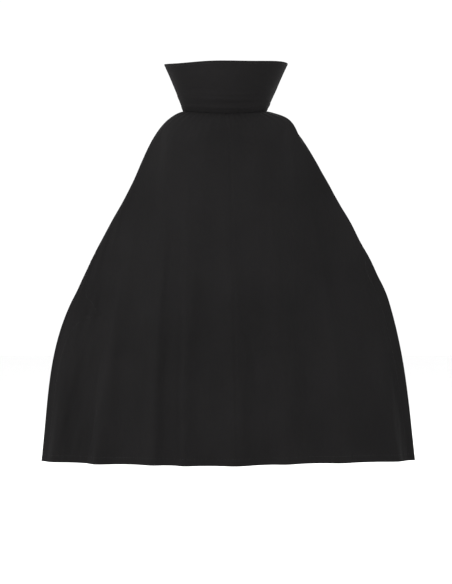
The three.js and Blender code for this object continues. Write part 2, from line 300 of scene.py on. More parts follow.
def collar_crumple(s, v):
    """Sum of long shallow creases round the collar: each is a bell in height, (v - its height) / its
    width, times a bell in s, so it fades out to both sides."""
    creases = (
        (0.10, 0.030, 0.00, 0.55, 1.3), (0.20, 0.026, -0.22, 0.30, -1.6), (0.27, 0.034, 0.12, 0.34, 1.6),
        (0.36, 0.030, -0.10, 0.26, 1.1), (0.15, 0.028, 0.48, 0.20, -1.3), (0.33, 0.045, 0.50, 0.22, 1.2),
        (0.18, 0.030, -0.62, 0.20, 1.3), (0.45, 0.060, 0.28, 0.24, -1.1), (0.52, 0.070, -0.40, 0.26, 1.1),
        (0.08, 0.018, -0.35, 0.14, -0.9), (0.23, 0.020, 0.30, 0.12, 1.0), (0.72, 0.090, 0.20, 0.30, 1.0),
    )
    total = np.zeros(np.broadcast(s, v).shape)
    for height, width, middle, reach, depth in creases:
        sloped = height + 0.05 * (s - middle) * np.sign(depth)
        bell = depth * MM * np.exp(-(((v - sloped) / width) ** 2))
        total = total + bell * np.exp(-(((s - middle) / reach) ** 2))
    wave = 0.9 * MM * np.sin(7.3 * s + 1.1) * np.sin(np.pi * np.clip(v, 0, 1))
    return total + wave


def collar_shape(s, v):
    """Line from the neck seam to the top edge that leans out by v^1.06, swelled by B sin(pi v), creased,
    with a slow wave in the top edge, which dips between the tips by (D + T s) (1 - s^2)^0.7."""
    foot, top = neck_seam(s), collar_top(s)
    lean = np.clip(v, 0, 1) ** 1.06
    p = foot + (top - foot) * np.stack([lean, lean, v], axis=-1)
    out = unit(p * (1, 1, 0))
    swell = COLLAR_BULGE * np.sin(np.pi * np.clip(v, 0, 1)) + collar_crumple(s, v)
    dip = (COLLAR_DIP + COLLAR_TILT * s) * np.clip(1 - s * s, 0, 1) ** 0.7
    rise = 0.8 * MM * np.sin(9 * s + 0.6) * smoothstep(v, 0.5, 1) - dip * v
    return p + out * swell[..., None] + np.array((0, 0, 1)) * rise[..., None]


def fold_wave(folds, distance):
    """depth x (cos p + 0.2 cos 2p) with p going once round from each crest to the next, so crests are
    sharper than troughs."""
    place, depth = np.array(folds, float).T * MM
    turns = np.interp(distance, place, np.arange(len(place)))
    p = 2 * np.pi * turns
    return np.interp(distance, place, depth) * (np.cos(p) + 0.2 * np.cos(2 * p) - 0.1)


def side_shape(side, u, v):
    """Threads from the neck seam to the hem: a cubic over the shoulder to the break line, and from there
    a cubic that falls to the hem and stands out in folds, square to the hem line."""
    sign = side["sign"]
    flip = np.array((sign, 1, 1))
    neck = neck_seam(sign * u)
    bend = through(side["break_line"], u) * MM * flip
    hem = through(side["hem"], u) * MM * flip
    carried = np.linalg.norm(bend - neck, axis=-1, keepdims=True)
    free = np.linalg.norm(hem - bend, axis=-1, keepdims=True)
    bend_at = carried / (carried + free)

    front = smoothstep(u, 0.55, 1)[..., None]
    beside = (np.sin(np.pi * np.minimum(1, u / 1.1)) ** 2)[..., None]
    fall = unit(hem - bend)
    at_bend = unit(fall + (unit(np.array(side["to_hand"]) * flip) - fall) * front)
    at_neck = unit(neck * (1, 1, 0)) * 0.5 + (0, 0, -0.5)
    at_neck = at_neck + (np.array(side["shoulder"]) * flip - at_neck) * 0.6 * beside
    at_neck = unit(at_neck + (unit(bend - neck) - at_neck) * 0.75 * front)

    v = v[..., None]
    t = np.clip(v / bend_at, 0, 1)
    over = hermite(neck, at_neck * NECK_PULL * carried, bend, at_bend * BREAK_PULL * carried, t)
    t = np.clip((v - bend_at) / (1 - bend_at), 0, 1)
    at_hem = unit(fall * 0.6 + np.array((0, 0, -0.4)))
    below = hermite(bend, at_bend * FALL_PULL * free, hem, at_hem * free, t)

    step = 1e-3
    ahead, back = (through(side["hem"], np.clip(u + d, 0, 1)) * MM * flip for d in (step, -step))
    along = ahead - back
    out = unit(np.stack([-along[..., 1], along[..., 0], 0 * u], axis=-1)) * sign
    sway = 0.006 * np.sin(5.1 * u + 4.0 * t[..., 0] + 0.7) * t[..., 0]
    depth = fold_wave(side["folds"], sign * hem[..., 0] + sway) * smoothstep(t[..., 0], 0, 0.92)
    return np.where(v <= bend_at, over, below + out * depth[..., None])


def sample(grid, row, column):
    """grid between its points, by the cubic through four neighbours each way."""
    padded = np.pad(grid, ((1, 2), (1, 2), (0, 0)), mode="reflect", reflect_type="odd")
    i = np.clip(np.floor(row).astype(int), 0, grid.shape[0] - 2)
    j = np.clip(np.floor(column).astype(int), 0, grid.shape[1] - 2)

    def weights(t):
        inner = (2 - 5 * t**2 + 3 * t**3) / 2, (t + 4 * t**2 - 3 * t**3) / 2
        return (-t + 2 * t**2 - t**3) / 2, *inner, (t**3 - t**2) / 2

    down, across = weights(row - i), weights(column - j)
    total = 0
    for m in range(4):
        for n in range(4):
            total = total + (down[m] * across[n])[..., None] * padded[i + m, j + n]
    return total


@lru_cache
def cape_grid():
    """The cape's shape as points, one row for each v and one column for each s."""
    v = np.linspace(0, 1, ROWS + 1)[:, None] * np.ones((1, COLUMNS + 1))
    u = np.linspace(0, 1, COLUMNS + 1)[None, :] * np.ones((ROWS + 1, 1))
    left, right = side_shape(LEFT, u, v), side_shape(RIGHT, u, v)
    seam = (left[:, :1] + right[:, :1]) / 2
    return np.concatenate([right[:, :0:-1], seam, left[:, 1:]], axis=1)


@lru_cache
def cape_lengths():
    """For each point of the grid, in metres: down from the neck seam, up from the hem, across from the
    centre back seam, and in from the front edge."""
    grid = cape_grid()
    steps = np.linalg.norm(np.diff(grid, axis=0), axis=2)
    down = np.concatenate([np.zeros((1, grid.shape[1])), np.cumsum(steps, axis=0)])
    steps = np.linalg.norm(np.diff(grid, axis=1), axis=2)
    along = np.concatenate([np.zeros((grid.shape[0], 1)), np.cumsum(steps, axis=1)], axis=1)
    across = np.abs(along - along[:, COLUMNS : COLUMNS + 1])
    right, left = np.repeat(across[:, :1], COLUMNS, 1), np.repeat(across[:, -1:], COLUMNS + 1, 1)
    whole = np.concatenate([right, left], axis=1)
    return np.stack([down, down[-1:] - down, across, whole - across], axis=2)


def at_grid(s, v):
    """Row and column of the grid for (s, v)."""
    return np.clip(v, 0, 1) * ROWS, (np.clip(s, -1, 1) + 1) * COLUMNS


def edge_reach(v, sign):
    """How far in from one front edge a whole side would reach if s were spaced as it is beside that edge."""
    return sample(cape_lengths(), *at_grid(np.full_like(v, 0.95 * sign), v))[..., 3] / 0.05


def middle_reach(v, sign):
    """How far out from the centre back seam a whole side would reach if s were spaced as it is beside
    that seam."""
    return sample(cape_lengths(), *at_grid(np.full_like(v, 0.03 * sign), v))[..., 2] / 0.03


def hem_reach(s):
    """How far up from the hem thread s would reach if v were spaced as it is beside the hem."""
    return sample(cape_lengths(), *at_grid(s, np.full_like(s, 0.98)))[..., 1] / 0.02


def ripples(s, v):
    """Small creases: sines that run down the cloth and wander, of 11 to 37 waves across, stronger lower
    down."""
    total = np.zeros(np.broadcast(s, v).shape)
    waves = ((5.5, 0.9, 0.3, 1.0), (8.3, -1.4, 2.1, 0.8), (12.7, 2.3, 4.4, 0.5), (18.5, -3.1, 1.2, 0.3))
    for across, down, phase, depth in waves:
        envelope = 0.5 + 0.5 * np.sin(3.1 * s * across / 5 + 2.7 * v + phase * 3)
        total = total + depth * MM * envelope * np.sin(2 * np.pi * (across * s + down * v * v) + phase)
    return total * smoothstep(v, 0.02, 0.5)


def stitched_line(distance, along, depth, pucker):
    """A row of stitches pulls the cloth in: a bell-shaped groove, with small puckers every 9 mm beside it."""
    groove = -depth * np.exp(-((distance / (1.3 * MM)) ** 2))
    waves = np.sin(2 * np.pi * along / (9 * MM)) + 0.6 * np.sin(2 * np.pi * along / (14.3 * MM) + 1)
    return groove + pucker * waves * np.exp(-((distance / (6 * MM)) ** 2))


def cape_detail(s, v):
    """How far the cloth stands out from its plain shape: gathers that die away below the neck seam, a
    puff beside that seam, small creases, a valley along the centre back seam, and the pull of the hem's
    and facings' stitches."""
    sizes = bpy.context.scene.cape_sizes
    down, up, across, inwards = np.moveaxis(sample(cape_lengths(), *at_grid(s, v)), -1, 0)
    wander = 1.1 * np.sin(9.0 * s + 0.4) + 0.7 * np.sin(23.0 * s + 2.0)
    gathers = sizes.gather * np.cos(2 * np.pi * sizes.gathers * s + wander) * np.exp(-down / 0.034)
    held = 1 - np.exp(-down / 0.007)
    puff = 0.7 * MM * np.exp(-down / 0.02) * held
    narrow, wide = np.exp(-((across / (2.4 * MM)) ** 2)), np.exp(-((across / (9 * MM)) ** 2))
    valley = -0.8 * MM * narrow - 0.3 * MM * wide
    seam_pull = 0.3 * MM * np.sin(2 * np.pi * down / (12 * MM)) * np.exp(-((across / (6 * MM)) ** 2))
    hem = stitched_line(up - (sizes.hem - HEM_STITCH_INSET), across, 0.45 * MM, 0.3 * MM)
    edge = stitched_line(inwards - (sizes.facing - FACING_STITCH_INSET), down, 0.4 * MM, 0.25 * MM)
    return gathers * held + puff + ripples(s, v) + valley + seam_pull + hem + edge


def cape_surface(s, v, offset=0.0):
    """The cloth at (s, v), moved outwards by offset: the grid's shape plus its detail along the normal,
    which is dP/ds x dP/dv."""
    grid = cape_grid()
    row, column = at_grid(s, v)
    nudge = 0.3
    right, left = np.maximum(column - nudge, 0), np.minimum(column + nudge, 2 * COLUMNS)
    above, below = np.maximum(row - nudge, 0), np.minimum(row + nudge, ROWS)
    across = sample(grid, row, left) - sample(grid, row, right)
    down = sample(grid, below, column) - sample(grid, above, column)
    stand = cape_detail(s, v) + offset
    return sample(grid, row, column) + unit(np.cross(across, down)) * stand[..., None]


def collar_surface(s, v, offset=0.0):
    """The collar at (s, v), moved outwards by offset along dP/dv x dP/ds."""
    e = 1e-3
    across = collar_shape(s + e, v) - collar_shape(s - e, v)
    up = collar_shape(s, v + e) - collar_shape(s, v - e)
    normal = unit(np.cross(up, across))
    return collar_shape(s, v) + normal * np.broadcast_to(offset, normal.shape[:-1])[..., None]


# ----------------------------------------------------------------------------------------------------------
# Meshes


def new_piece(name, points, faces, place):
    """A smooth mesh object at the origin from points, one array of faces for each number of corners, and
    a place in metres for each point on the flat cloth."""
    points = np.asarray(points, float).reshape(-1, 3)
    sizes = np.concatenate([np.full(len(f), f.shape[1], np.int32) for f in faces])
    corners = np.concatenate([np.ravel(f) for f in faces]).astype(np.int32)
    mesh = bpy.data.meshes.new(name)
    mesh.vertices.add(len(points))
    mesh.vertices.foreach_set("co", points.astype(np.float32).ravel())
    mesh.loops.add(len(corners))
    mesh.loops.foreach_set("vertex_index", corners)
    mesh.polygons.add(len(sizes))
    mesh.polygons.foreach_set("loop_start", (np.cumsum(sizes) - sizes).astype(np.int32))
    mesh.polygons.foreach_set("use_smooth", np.ones(len(sizes), bool))
    layer = mesh.uv_layers.new(name="cloth")
    layer.data.foreach_set("uv", np.asarray(place, np.float32)[corners].ravel())
    mesh.update(calc_edges=True)
    mesh.set_sharp_from_angle(angle=np.radians(55))
    if mesh.validate():
        raise RuntimeError(f"{name} has a face that isn't sound")
    piece = bpy.data.objects.new(name, mesh)
    bpy.context.scene.collection.objects.link(piece)
    return piece


def grid_faces(rows, columns, first=0, flip=False):
    """Quads between the points of a grid with that many rows and columns of points."""
    a = (np.arange(rows - 1)[:, None] * columns + np.arange(columns - 1)[None, :]).ravel() + first
    quads = np.stack([a, a + 1, a + columns + 1, a + columns], axis=1)
    return quads[:, ::-1] if flip else quads


def flat_place(points, zero=0):
    """Distance along the rows from column zero and down the columns of a grid of points, as its place on
    the flat cloth."""
    across = np.linalg.norm(np.diff(points, axis=1), axis=2).mean(axis=0)
    down = np.linalg.norm(np.diff(points, axis=0), axis=2).mean(axis=1)
    x = np.concatenate([[0], np.cumsum(across)])
    y = np.concatenate([[0], np.cumsum(down)])
    return np.stack(np.meshgrid(x - x[zero], -y), axis=-1).reshape(-1, 2)


def sheet(name, outer, inner, zero=0):
    """A closed sheet between two grids of points that face each other, outer on the outward side, where
    dP/dcolumn x dP/drow points. Its place on the flat cloth is measured from column zero."""
    rows, columns = outer.shape[:2]
    n = rows * columns
    index = np.arange(n).reshape(rows, columns)
    rim = np.concatenate([index[0, :-1], index[:-1, -1], index[-1, :0:-1], index[:0:-1, 0]])
    after = np.roll(rim, -1)
    sides = np.stack([rim, rim + n, after + n, after], axis=1)
    faces = np.concatenate([grid_faces(rows, columns), grid_faces(rows, columns, n, flip=True), sides])
    place = flat_place(outer, zero)
    points = np.concatenate([outer.reshape(-1, 3), inner.reshape(-1, 3)])
    return new_piece(name, points, [faces], np.concatenate([place, place]))


def tube(name, rings):
    """A closed solid from rings of points, each closed on itself, with a fan over each end. A ring goes
    round so that dP/dround x dP/dalong points outwards."""
    count, around = rings.shape[:2]
    index = np.arange(count * around).reshape(count, around)
    a, b = index[:-1], np.roll(index[:-1], -1, axis=1)
    c, d = np.roll(index[1:], -1, axis=1), index[1:]
    walls = np.stack([a, b, c, d], axis=-1).reshape(-1, 4)
    n = count * around
    first, last = index[0], index[-1]
    start = np.stack([np.roll(first, -1), first, np.full(around, n)], axis=1)
    end = np.stack([last, np.roll(last, -1), np.full(around, n + 1)], axis=1)
    points = np.concatenate([rings.reshape(-1, 3), rings[:1].mean(axis=1), rings[-1:].mean(axis=1)])
    around_at = np.concatenate([[0], np.cumsum(np.linalg.norm(np.diff(rings[0], axis=0), axis=1))])
    along_at = np.concatenate([[0], np.cumsum(np.linalg.norm(np.diff(rings[:, 0], axis=0), axis=1))])
    place = np.stack(np.meshgrid(around_at, along_at), axis=-1).reshape(-1, 2)
    place = np.concatenate([place, place[:1], place[-1:]])
    return new_piece(name, points, [walls, start, end], place)


def stadium(width, thickness, steps):
    """Cross-section of a ribbon: two straight sides joined by two half circles, as (across, out) round it."""
    r = thickness / 2
    straight = np.linspace(r, width - r, steps + 1)
    turn = np.radians((60, 0, -60))
    far = np.stack([width - r + r * np.cos(turn), r * np.sin(turn)], axis=1)
    near = np.stack([r - r * np.cos(turn), -r * np.sin(turn)], axis=1)
    top = np.stack([straight, np.full_like(straight, r)], axis=1)
    bottom = np.stack([straight[::-1], np.full_like(straight, -r)], axis=1)
    return np.concatenate([top, far, bottom, near])


def ribbon(name, path, across, width, thickness, steps=4):
    """A ribbon along a path. across is the direction of its width, and its face is the path's direction
    x across."""
    ring = stadium(width, thickness, steps)
    ring[:, 0] -= width / 2
    along = unit(np.gradient(path, axis=0))
    across = unit(np.broadcast_to(across, path.shape))
    out = unit(np.cross(along, across))
    across = unit(np.cross(out, along))
    rings = path[:, None] + across[:, None] * ring[None, :, :1] + out[:, None] * ring[None, :, 1:]
    return tube(name, rings[:, ::-1])


def strewn(name, shape, faces, places, axes):
    """Many copies of a small shape: its points times each copy's three axes, plus each copy's place."""
    points = np.einsum("pi,kij->kpj", shape, axes) + places[:, None]
    shift = (np.arange(len(places)) * len(shape))[:, None, None]
    copies = [(group[None] + shift).reshape(-1, group.shape[1]) for group in faces]
    return new_piece(name, points, copies, np.tile(shape[:, :2] * MM, (len(places), 1)))


def wire_shape(path, radius):
    """A square wire along a path in the XZ plane, closed at both ends, as points and faces."""
    along = unit(np.gradient(path, axis=0))
    beside = np.stack([-along[:, 2], 0 * along[:, 0], along[:, 0]], axis=1)
    turn = np.array(((1, 1), (-1, 1), (-1, -1), (1, -1))) * radius * 0.71
    rings = path[:, None] + beside[:, None] * turn[None, :, :1] + np.array((0, 1, 0)) * turn[None, :, 1:]
    n = len(path)
    a = (np.arange(n - 1)[:, None] * 4 + np.arange(4)).ravel()
    b = (np.arange(n - 1)[:, None] * 4 + (np.arange(4) + 1) % 4).ravel()
    walls = np.stack([b, a, a + 4, b + 4], axis=1)
    caps = np.array(((0, 1, 2, 3), tuple(4 * n - 1 - k for k in range(4))))
    return rings.reshape(-1, 3), np.concatenate([walls, caps])


def stitch_shape():
    """One stitch of unit length along X, with Z out of the cloth: a spindle of five-sided rings whose
    ends dive."""
    x = np.array((-0.46, -0.3, 0, 0.3, 0.46))
    radius = np.array((0.45, 0.9, 1, 0.9, 0.45))
    turn = np.arange(5) * 2 * np.pi / 5
    rings = np.stack(
        [
            np.broadcast_to(x[:, None], (5, 5)),
            radius[:, None] * np.cos(turn),
            radius[:, None] * np.sin(turn) + 0.55 - 7 * x[:, None] ** 2,
        ],
        axis=-1,
    ).reshape(-1, 3)
    poles = np.array(((-0.5, 0, -1.4), (0.5, 0, -1.4)))
    a = (np.arange(4)[:, None] * 5 + np.arange(5)).ravel()
    b = (np.arange(4)[:, None] * 5 + (np.arange(5) + 1) % 5).ravel()
    walls = np.stack([a, b, b + 5, a + 5], axis=1)
    ring, after = np.arange(5), (np.arange(5) + 1) % 5
    start = np.stack([after, ring, np.full(5, 25)], axis=1)
    end = np.stack([ring + 20, after + 20, np.full(5, 26)], axis=1)
    return np.concatenate([rings, poles]), walls, np.concatenate([start, end])


def stitches(name, rows, slant=0.0, longer=1.0):
    """Machine stitches along rows of (points, outward directions): evenly pitched, each a spindle along
    the row."""
    sizes = bpy.context.scene.cape_sizes
    places, axes = [], []
    for points, out in rows:
        run = np.concatenate([[0], np.cumsum(np.linalg.norm(np.diff(points, axis=0), axis=1))])
        at = np.arange(sizes.pitch / 2, run[-1] - sizes.pitch / 2, sizes.pitch)
        middle = np.stack([np.interp(at, run, points[:, k]) for k in range(3)], axis=1)
        ahead = np.stack([np.interp(at + 0.5 * MM, run, points[:, k]) for k in range(3)], axis=1)
        up = unit(np.stack([np.interp(at, run, out[:, k]) for k in range(3)], axis=1))
        along = unit(ahead - middle)
        beside = unit(np.cross(up, along))
        along = unit(along * np.cos(slant) + beside * np.sin(slant))
        beside = unit(np.cross(up, along))
        up = np.cross(along, beside)
        places.append(middle)
        thickness = sizes.thread
        axes.append(np.stack([along * sizes.stitch * longer, beside * thickness, up * thickness], axis=1))
    shape, walls, caps = stitch_shape()
    return strewn(name, shape, (walls, caps), np.concatenate(places), np.concatenate(axes))


def row_on(surface, s, v, offset, side=1):
    """A row for stitches() on a surface: its points at (s, v) and offset, and the direction out of that
    face."""
    points = surface(s, v, offset)
    return points, unit(surface(s, v, offset + 0.2 * MM) - points) * side


# ----------------------------------------------------------------------------------------------------------
# Materials


class Nodes:
    """Makes nodes in a tree and joins them. A value that is a socket is linked, and any other is set."""

    def __init__(self, tree):
        self.tree = tree

    def add(self, kind, values=None, **settings):
        node = self.tree.nodes.new(kind)
        for key, value in settings.items():
            setattr(node, key, value)
        for key, value in (values or {}).items():
            self.put(node.inputs[key], value)
        return node

    def put(self, socket, value):
        if isinstance(value, bpy.types.NodeSocket):
            self.tree.links.new(value, socket)
        else:
            socket.default_value = value

    def math(self, operation, a, b=0.0):
        return self.add("ShaderNodeMath", {0: a, 1: b}, operation=operation).outputs[0]

    def mix(self, factor, a, b):
        node = self.add("ShaderNodeMix", data_type="RGBA")
        for socket, value in ((node.inputs[0], factor), (node.inputs[6], a), (node.inputs[7], b)):
            self.put(socket, value)
        return node.outputs[2]

    def ramp(self, value, low, high, a=0.0, b=1.0):
        return self.add("ShaderNodeMapRange", {0: value, 1: low, 2: high, 3: a, 4: b}).outputs[0]

    def noise(self, vector, scale, detail=2.0, roughness=0.5):
        values = {"Vector": vector, "Scale": scale, "Detail": detail, "Roughness": roughness}
        return self.add("ShaderNodeTexNoise", values).outputs["Fac"]

    def stretched(self, vector, scale):
        return self.add("ShaderNodeMapping", {"Vector": vector, "Scale": scale}).outputs[0]


def group(name, inputs, outputs, build):
    """A shader node group, made once. build gets the nodes and the input sockets and returns the output
    values."""
    tree = bpy.data.node_groups.get(name)
    if tree:
        return tree
    tree = bpy.data.node_groups.new(name, "ShaderNodeTree")
    for label, kind, value in inputs:
        socket = tree.interface.new_socket(label, in_out="INPUT", socket_type=kind)
        if value is not None:
            socket.default_value = value
    for label, kind in outputs:
        tree.interface.new_socket(label, in_out="OUTPUT", socket_type=kind)
    nodes = Nodes(tree)
    entry, exit_ = nodes.add("NodeGroupInput"), nodes.add("NodeGroupOutput")
    for socket, value in zip(exit_.inputs, build(nodes, *[entry.outputs[label] for label, _, _ in inputs])):
        nodes.put(socket, value)
    return tree


VECTOR, NUMBER, TINT = "NodeSocketVector", "NodeSocketFloat", "NodeSocketColor"


def plain_weave():
    """Height of a plain weave: each yarn is half a sine across, and warp and weft change places at every
    crossing."""

    def build(nodes, place, threads, uneven):
        wobble = nodes.noise(place, 60.0)
        apart = nodes.add("ShaderNodeSeparateXYZ", {0: place})
        x = nodes.math("MULTIPLY", apart.outputs[0], threads)
        y = nodes.math("MULTIPLY", apart.outputs[1], threads)
        turns = [nodes.math("ABSOLUTE", nodes.math("SINE", nodes.math("MULTIPLY", t, np.pi))) for t in (x, y)]
        crossing = nodes.math("ADD", nodes.math("FLOOR", x), nodes.math("FLOOR", y))
        over = nodes.math("PINGPONG", crossing, 1.0)
        height = nodes.add("ShaderNodeMix", data_type="FLOAT")
        for socket, value in ((0, over), (2, turns[0]), (3, turns[1])):
            nodes.put(height.inputs[socket], value)
        slub = nodes.math("MULTIPLY", nodes.math("SUBTRACT", wobble, 0.5), uneven)
        return (nodes.math("ADD", height.outputs[0], slub),)

    inputs = (("Place", VECTOR, None), ("Threads per metre", NUMBER, 2600.0), ("Uneven", NUMBER, 0.6))
    return group("Plain weave", inputs, (("Height", NUMBER),), build)


def soft_creases():
    """Height of fine creases: noise drawn out down the cloth, and a finer one over it."""

    def build(nodes, place, scale):
        long_ = nodes.noise(nodes.stretched(place, (1.0, 0.28, 1.0)), scale, 3.0)
        fine = nodes.noise(nodes.stretched(place, (1.0, 0.55, 1.0)), nodes.math("MULTIPLY", scale, 4.3), 2.0)
        return (nodes.math("ADD", long_, nodes.math("MULTIPLY", fine, 0.25)),)

    inputs = (("Place", VECTOR, None), ("Scale", NUMBER, 14.0))
    return group("Soft creases", inputs, (("Height", NUMBER),), build)


def dye_and_dust():
    """Tint of dyed cloth: a slow and a finer unevenness in the dye, between darker and paler, and a few
    specks of lint.
    """

    def build(nodes, place, cloth, scale, lint):
        slow = nodes.ramp(nodes.noise(place, scale, 4.0), 0.35, 0.65)
        fine = nodes.ramp(nodes.noise(place, nodes.math("MULTIPLY", scale, 38.0), 2.0), 0.3, 0.7)
        darker = nodes.add("ShaderNodeHueSaturation", {"Value": 0.8, "Color": cloth}).outputs[0]
        paler = nodes.add("ShaderNodeHueSaturation", {"Value": 1.22, "Color": cloth}).outputs[0]
        tone = nodes.math("ADD", nodes.math("MULTIPLY", slow, 0.65), nodes.math("MULTIPLY", fine, 0.35))
        specks = nodes.math("MULTIPLY", scale, 60.0)
        cells = nodes.add("ShaderNodeTexVoronoi", {"Vector": place, "Scale": specks})
        speck = nodes.math("LESS_THAN", cells.outputs["Distance"], 0.035)
        dust = nodes.math("MULTIPLY", speck, lint)
        return nodes.mix(dust, nodes.mix(tone, darker, paler), (0.05, 0.05, 0.05, 1.0)), tone

    numbers = (("Scale", NUMBER, 6.0), ("Lint", NUMBER, 0.3))
    inputs = (("Place", VECTOR, None), ("Cloth", TINT, (0.02, 0.02, 0.02, 1)), *numbers)
    return group("Dye and dust", inputs, (("Colour", TINT), ("Tone", NUMBER)), build)


def ribs():
    """Height of grosgrain: half sines along the ribbon, broken a little by the warp."""

    def build(nodes, place, per_metre):
        apart = nodes.add("ShaderNodeSeparateXYZ", {0: place})
        y = nodes.math("MULTIPLY", apart.outputs[1], per_metre)
        rib = nodes.math("ABSOLUTE", nodes.math("SINE", nodes.math("MULTIPLY", y, np.pi)))
        x = nodes.math("MULTIPLY", apart.outputs[0], nodes.math("MULTIPLY", per_metre, 2.5))
        warp = nodes.math("ABSOLUTE", nodes.math("SINE", nodes.math("MULTIPLY", x, np.pi)))
        return (nodes.math("ADD", rib, nodes.math("MULTIPLY", warp, 0.25)),)

    inputs = (("Place", VECTOR, None), ("Ribs per metre", NUMBER, 900.0))
    return group("Ribs", inputs, (("Height", NUMBER),), build)


def fibres():
    """Height of matted fibres: two layers of noise drawn out in crossing directions."""

    def build(nodes, place, scale):
        one = nodes.noise(nodes.stretched(place, (1.0, 0.12, 0.4)), scale, 4.0, 0.65)
        other = nodes.noise(nodes.stretched(place, (0.12, 1.0, 0.4)), scale, 4.0, 0.65)
        return (nodes.math("MAXIMUM", one, other),)

    return group("Fibres", (("Place", VECTOR, None), ("Scale", NUMBER, 900.0)), (("Height", NUMBER),), build)


def material(name, build):
    """A material, made once. build gets its nodes and its Principled BSDF."""
    made = bpy.data.materials.get(name)
    if made:
        return made
    made = bpy.data.materials.new(name)
    made.use_nodes = True
    shader = made.node_tree.nodes["Principled BSDF"]
    build(Nodes(made.node_tree), shader)
    return made


def place_on_cloth(nodes):
    """Place on the flat cloth, in metres, that new_piece() wrote."""
    return nodes.add("ShaderNodeUVMap", uv_map="cloth").outputs[0]


def bump(nodes, height, distance, strength=1.0, normal=None):
    """Normal of a surface that height raises by up to distance, on top of an earlier normal."""
    values = {"Height": height, "Distance": distance, "Strength": strength}
    if normal is not None:
        values["Normal"] = normal
    return nodes.add("ShaderNodeBump", values).outputs[0]


def woven(name, tint, roughness, sheen, crease, lint=0.25):
    """Dyed polyester in a plain weave, with soft creases and a matt bloom at glancing angles."""

    def build(nodes, shader):
        flat, place = place_on_cloth(nodes), nodes.add("ShaderNodeTexCoord").outputs["Object"]
        dye = nodes.add("ShaderNodeGroup", node_tree=dye_and_dust())
        for key, value in (("Place", place), ("Cloth", tuple(tint)), ("Lint", lint)):
            nodes.put(dye.inputs[key], value)
        weave = nodes.add("ShaderNodeGroup", node_tree=plain_weave())
        nodes.put(weave.inputs["Place"], flat)
        creases = nodes.add("ShaderNodeGroup", node_tree=soft_creases())
        nodes.put(creases.inputs["Place"], flat)
        normal = bump(nodes, creases.outputs["Height"], crease)
        normal = bump(nodes, weave.outputs["Height"], 0.05 * MM, 0.5, normal)
        nodes.put(shader.inputs["Base Color"], dye.outputs["Colour"])
        worn = nodes.ramp(dye.outputs["Tone"], 0.0, 1.0, roughness - 0.05, roughness + 0.06)
        nodes.put(shader.inputs["Roughness"], worn)
        nodes.put(shader.inputs["Normal"], normal)
        shader.inputs["Sheen Weight"].default_value = sheen
        shader.inputs["Sheen Roughness"].default_value = 0.4
        shader.inputs["Specular IOR Level"].default_value = 0.05

    return material(name, build)


def cape_cloth():
    """Matt black, as the outer face of the cape."""
    return woven("cape cloth", bpy.context.scene.cape_colours.cloth, 0.72, 0.012, 1.1 * MM)


def cape_inside():
    """The same cloth inside, where it is rougher and holds more lint."""
    return woven("cape cloth inside", bpy.context.scene.cape_colours.cloth, 0.8, 0.012, 1.1 * MM, lint=0.4)


def collar_cloth():
    """The cloth of the collar, smoother over its stiffener, and painted paler than the cape's cloth to offset
    the shade of its outward lean.
    """
    return woven("collar cloth", bpy.context.scene.cape_colours.collar, 0.78, 0.004, 0.5 * MM)


def thread_material():
    """Polyester sewing thread, with painted shade where its plies meet."""

    def build(nodes, shader):
        place = nodes.add("ShaderNodeTexCoord").outputs["Object"]
        twist = nodes.noise(place, 2500.0, 1.0)
        tint = tuple(bpy.context.scene.cape_colours.thread)
        darker = tuple(0.6 * t for t in tint[:3]) + (1.0,)
        # Painted shade: the colour darkens where the twist's height is low, in the hollows between the plies.
        nodes.put(shader.inputs["Base Color"], nodes.mix(twist, darker, tint))
        nodes.put(shader.inputs["Roughness"], nodes.ramp(twist, 0.3, 0.7, 0.4, 0.6))
        nodes.put(shader.inputs["Normal"], bump(nodes, twist, 0.05 * MM))
        shader.inputs["Sheen Weight"].default_value = 0.05
        shader.inputs["Specular IOR Level"].default_value = 0.3

    return material("sewing thread", build)


def tape_material():
    """Grosgrain: cross ribs that shine a little on their crests."""

    def build(nodes, shader):
        dye = nodes.add("ShaderNodeGroup", node_tree=dye_and_dust())
        nodes.put(dye.inputs["Place"], nodes.add("ShaderNodeTexCoord").outputs["Object"])
        nodes.put(dye.inputs["Cloth"], tuple(bpy.context.scene.cape_colours.tape))
        nodes.put(dye.inputs["Scale"], 18.0)
        rib = nodes.add("ShaderNodeGroup", node_tree=ribs())
        nodes.put(rib.inputs["Place"], place_on_cloth(nodes))
        nodes.put(shader.inputs["Base Color"], dye.outputs["Colour"])
        nodes.put(shader.inputs["Roughness"], nodes.ramp(rib.outputs["Height"], 0.0, 1.2, 0.72, 0.5))
        shader.inputs["Specular IOR Level"].default_value = 0.16
        nodes.put(shader.inputs["Normal"], bump(nodes, rib.outputs["Height"], 0.14 * MM))
        shader.inputs["Sheen Weight"].default_value = 0.03

    return material("grosgrain tape", build)


def fibre_material(name, tint, scale, depth, roughness):
    """Matted fibres, with painted shade between them and painted light on their tops."""

    def build(nodes, shader):
        place = nodes.add("ShaderNodeTexCoord").outputs["Object"]
        mat = nodes.add("ShaderNodeGroup", node_tree=fibres())
        nodes.put(mat.inputs["Place"], place)
        nodes.put(mat.inputs["Scale"], scale)
        dark = tuple(0.55 * t for t in tuple(tint)[:3]) + (1.0,)
        pale = tuple(min(1.0, 1.5 * t) for t in tuple(tint)[:3]) + (1.0,)
        shade = nodes.ramp(mat.outputs["Height"], 0.45, 0.75)
        # Painted shade and light: the colour is dark where the fibres' height is low, between them, and pale
        # where it is high, on their tops.
        nodes.put(shader.inputs["Base Color"], nodes.mix(shade, dark, pale))
        nodes.put(shader.inputs["Roughness"], nodes.ramp(shade, 0.0, 1.0, roughness, roughness - 0.12))
        nodes.put(shader.inputs["Normal"], bump(nodes, mat.outputs["Height"], depth))
        shader.inputs["Sheen Weight"].default_value = 0.08
        shader.inputs["Specular IOR Level"].default_value = 0.2

    return material(name, build)


